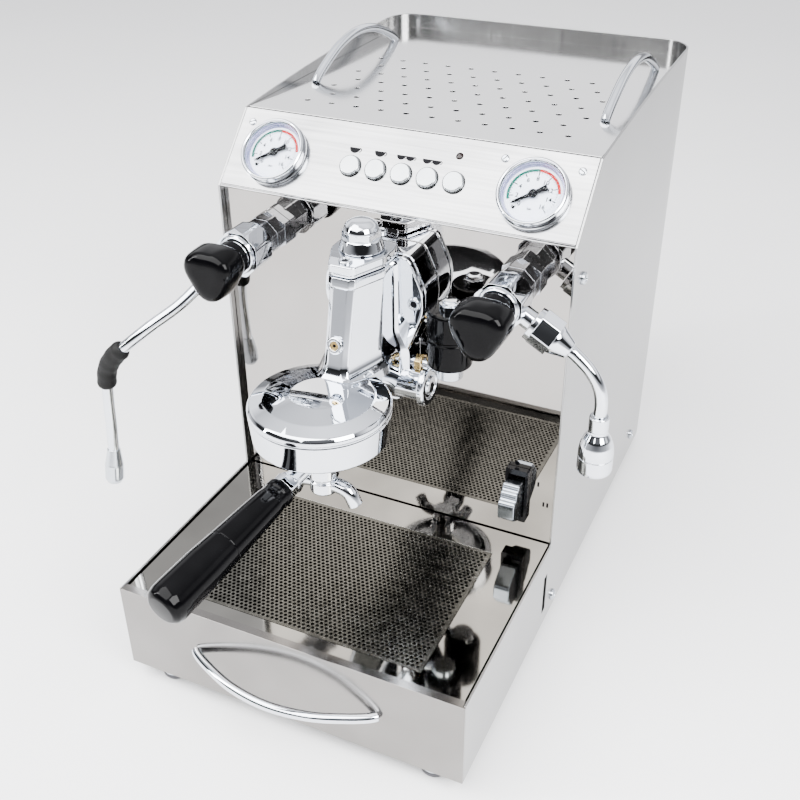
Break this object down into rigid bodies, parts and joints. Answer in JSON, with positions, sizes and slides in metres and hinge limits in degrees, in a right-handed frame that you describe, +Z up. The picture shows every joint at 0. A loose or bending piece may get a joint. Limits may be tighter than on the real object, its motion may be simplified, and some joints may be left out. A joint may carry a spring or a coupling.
{
  "type": "espresso machine",
  "caption": "Sheet steel espresso machine with a chrome brew group, turn-knob steam and hot water valves, gauges, push buttons, drip drawer and cup plate",
  "frame": {"origin": "middle of the footprint of the whole machine, handle and wands included, on the table", "axes": "+Z up, -Y towards the user, +X to the user's right"},
  "size_m": [0.3522, 0.5282, 0.3762],
  "materials": {
    "case_steel": "fine brushed",
    "polished_sheet": "mirror polished",
    "chrome": "bright",
    "brass": "turned",
    "copper": "drawn copper",
    "black_plastic": "glossy",
    "rubber": "matte",
    "dial": "satin",
    "gauge_glass": "clear",
    "tank_plastic": "translucent natural"
  },
  "bodies": {
    "case": {"body_wrap": "case_steel", "base_plate": "case_steel", "control_panel": "case_steel", "front_panel": "polished_sheet", "gauge_case_left": "chrome", "gauge_case_right": "chrome", "steam_valve_body": "chrome", "water_valve_body": "chrome", "steam_wand_nut": "chrome", "water_wand_nut": "chrome", "group_mount": "chrome", "group_casting": "chrome", "group_cover": "chrome", "group_dome_nut": "chrome", "shower_screen": "chrome", "solenoid_nut": "chrome", "group_plug": "brass", "boiler": "copper", "switch_frame": "black_plastic", "solenoid_coil": "black_plastic", "pilot_lamp": "black_plastic", "mains_inlet": "black_plastic", "pump": "black_plastic", "foot_front_left": "rubber", "foot_front_right": "rubber", "foot_rear_left": "rubber", "foot_rear_right": "rubber", "group_seal": "rubber", "gauge_dial_left": "dial", "gauge_dial_right": "dial", "gauge_glass_left": "gauge_glass", "gauge_glass_right": "gauge_glass", "water_tank": "tank_plastic"},
    "drip_drawer": {"drawer_front": "case_steel", "drip_pan": "case_steel", "tray_deck": "polished_sheet", "tray_handle": "chrome"},
    "grille": {"drip_grille": "case_steel"},
    "cup_top": {"cup_plate": "polished_sheet", "cup_handle_left": "chrome", "cup_handle_right": "chrome"},
    "portafilter": {"portafilter_body": "chrome", "filter_basket": "case_steel", "portafilter_handle": "black_plastic", "spout": "chrome"},
    "steam_tap": {"steam_knob": "black_plastic"},
    "water_tap": {"water_knob": "black_plastic"},
    "steam_wand": {"steam_pipe": "chrome", "steam_grip": "rubber", "steam_tip": "chrome"},
    "water_wand": {"water_pipe": "chrome", "water_head": "chrome"},
    "rocker": {"switch_rocker": "black_plastic"},
    "needle_left": {"gauge_needle_left": "black_plastic"},
    "needle_right": {"gauge_needle_right": "black_plastic"},
    "push_1": {"button_1": "chrome"},
    "push_2": {"button_2": "chrome"},
    "push_3": {"button_3": "chrome"},
    "push_4": {"button_4": "chrome"},
    "push_5": {"button_5": "chrome"}
  },
  "joints": [
    {"name": "drawer_slide", "type": "slide", "parent": "case", "child": "drip_drawer", "axis": [0, -1, 0], "range_m": [0, 0.15]},
    {"name": "grille_lift", "type": "slide", "parent": "drip_drawer", "child": "grille", "axis": [0, 0, 1], "range_m": [0, 0.04]},
    {"name": "cup_plate_lift", "type": "slide", "parent": "case", "child": "cup_top", "axis": [0, 0, 1], "range_m": [0, 0.06]},
    {"name": "portafilter_turn", "type": "hinge", "parent": "case", "child": "portafilter", "pos_m": [0.00914, -0.12223, 0.21], "axis": [0, 0, 1], "range_deg": [-40, 10]},
    {"name": "steam_knob_turn", "type": "hinge", "parent": "case", "child": "steam_tap", "pos_m": [-0.07686, -0.09723, 0.2835], "axis": [0, -1, 0], "range_deg": [0, 300]},
    {"name": "water_knob_turn", "type": "hinge", "parent": "case", "child": "water_tap", "pos_m": [0.10114, -0.09723, 0.2835], "axis": [0, -1, 0], "range_deg": [0, 300]},
    {"name": "steam_wand_swivel", "type": "hinge", "parent": "case", "child": "steam_wand", "pos_m": [-0.09851, -0.05823, 0.271], "axis": [-0.866, 0, -0.5], "range_deg": [-35, 60]},
    {"name": "water_wand_swivel", "type": "hinge", "parent": "case", "child": "water_wand", "pos_m": [0.14358, -0.05823, 0.259], "axis": [0.866, 0, -0.5], "range_deg": [-60, 60]},
    {"name": "rocker_tip", "type": "hinge", "parent": "case", "child": "rocker", "pos_m": [0.10554, -0.02323, 0.1177], "axis": [1, 0, 0], "range_deg": [-12, 12]},
    {"name": "needle_left_sweep", "type": "hinge", "parent": "case", "child": "needle_left", "pos_m": [-0.08086, -0.00729, 0.32954], "axis": [0, -0.7071, 0.7071], "range_deg": [-270, 0], "stiffness_Nm_per_rad": 0.0005},
    {"name": "needle_right_sweep", "type": "hinge", "parent": "case", "child": "needle_right", "pos_m": [0.09914, -0.00729, 0.32954], "axis": [0, -0.7071, 0.7071], "range_deg": [-270, 0], "stiffness_Nm_per_rad": 0.0005},
    {"name": "button_1_press", "type": "slide", "parent": "case", "child": "push_1", "axis": [0, 0.7071, -0.7071], "range_m": [0, 0.002], "stiffness_N_per_m": 400, "springref_m": -0.003},
    {"name": "button_2_press", "type": "slide", "parent": "case", "child": "push_2", "axis": [0, 0.7071, -0.7071], "range_m": [0, 0.002], "stiffness_N_per_m": 400, "springref_m": -0.003},
    {"name": "button_3_press", "type": "slide", "parent": "case", "child": "push_3", "axis": [0, 0.7071, -0.7071], "range_m": [0, 0.002], "stiffness_N_per_m": 400, "springref_m": -0.003},
    {"name": "button_4_press", "type": "slide", "parent": "case", "child": "push_4", "axis": [0, 0.7071, -0.7071], "range_m": [0, 0.002], "stiffness_N_per_m": 400, "springref_m": -0.003},
    {"name": "button_5_press", "type": "slide", "parent": "case", "child": "push_5", "axis": [0, 0.7071, -0.7071], "range_m": [0, 0.002], "stiffness_N_per_m": 400, "springref_m": -0.003}
  ]
}
